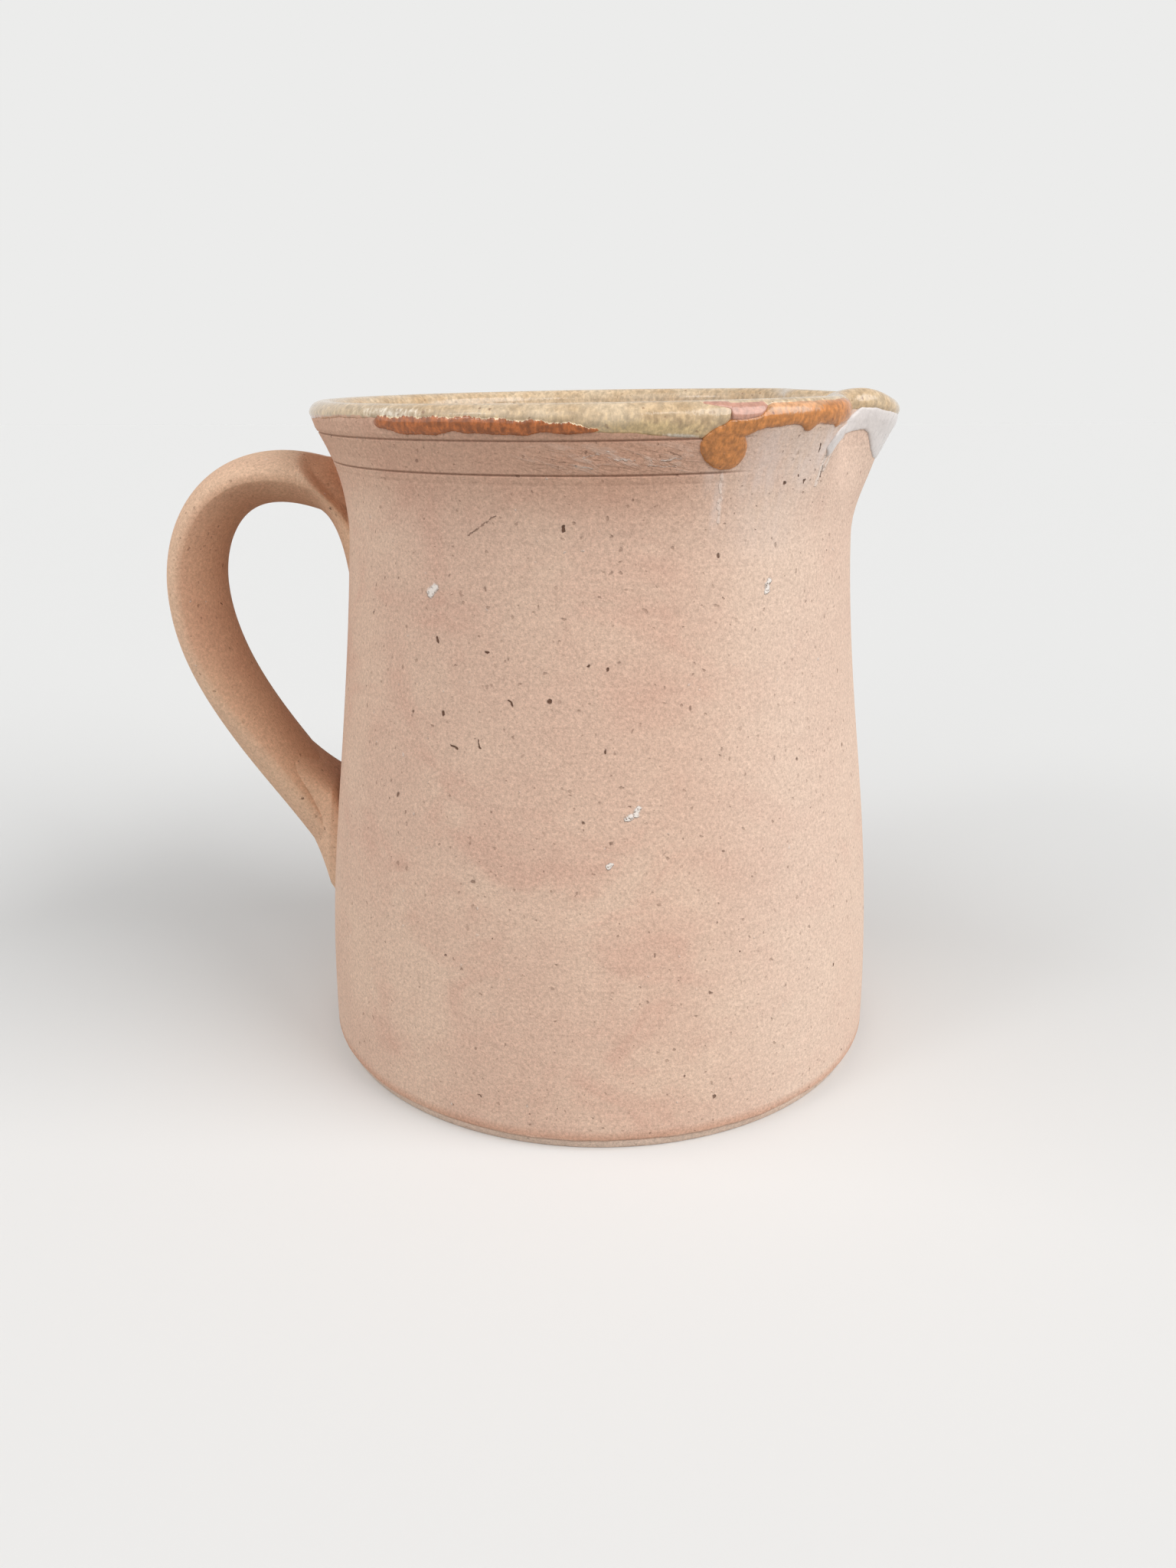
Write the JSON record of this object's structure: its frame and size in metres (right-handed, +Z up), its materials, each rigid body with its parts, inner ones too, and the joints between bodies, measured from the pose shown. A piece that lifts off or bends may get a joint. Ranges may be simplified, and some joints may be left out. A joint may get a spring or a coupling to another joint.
{
  "type": "earthenware pitcher",
  "caption": "Thrown earthenware pitcher with a waisted body, rolled lip, pinched pouring spout and strap handle, bare clay outside and glazed inside and over the rim.",
  "frame": {"origin": "centre of the flat base, on the plane that the pitcher stands on", "axes": "+Z up the pitcher's axis, +X towards the spout, -X towards the handle"},
  "size_m": [0.199, 0.1598, 0.1826],
  "materials": {
    "bare_clay": "bare fired earthenware, fine grain with small pores",
    "handle_clay": "bare fired earthenware, wiped smooth along the strap",
    "luting_clay": "bare fired earthenware, thumbed",
    "cream_glaze": "glossy lead glaze over cream slip",
    "brown_glaze": "glossy iron brown run",
    "pink_glaze": "glossy pale pink patch",
    "white_slip": "satin white slip"
  },
  "bodies": {
    "root": {"thrown_body": "bare_clay", "strap_handle": "handle_clay", "upper_joint_wad": "luting_clay", "lower_joint_wad": "luting_clay", "cream_glaze": "cream_glaze", "brown_glaze_runs": "brown_glaze", "pink_glaze_patch": "pink_glaze", "white_slip_run": "white_slip"}
  },
  "joints": []
}
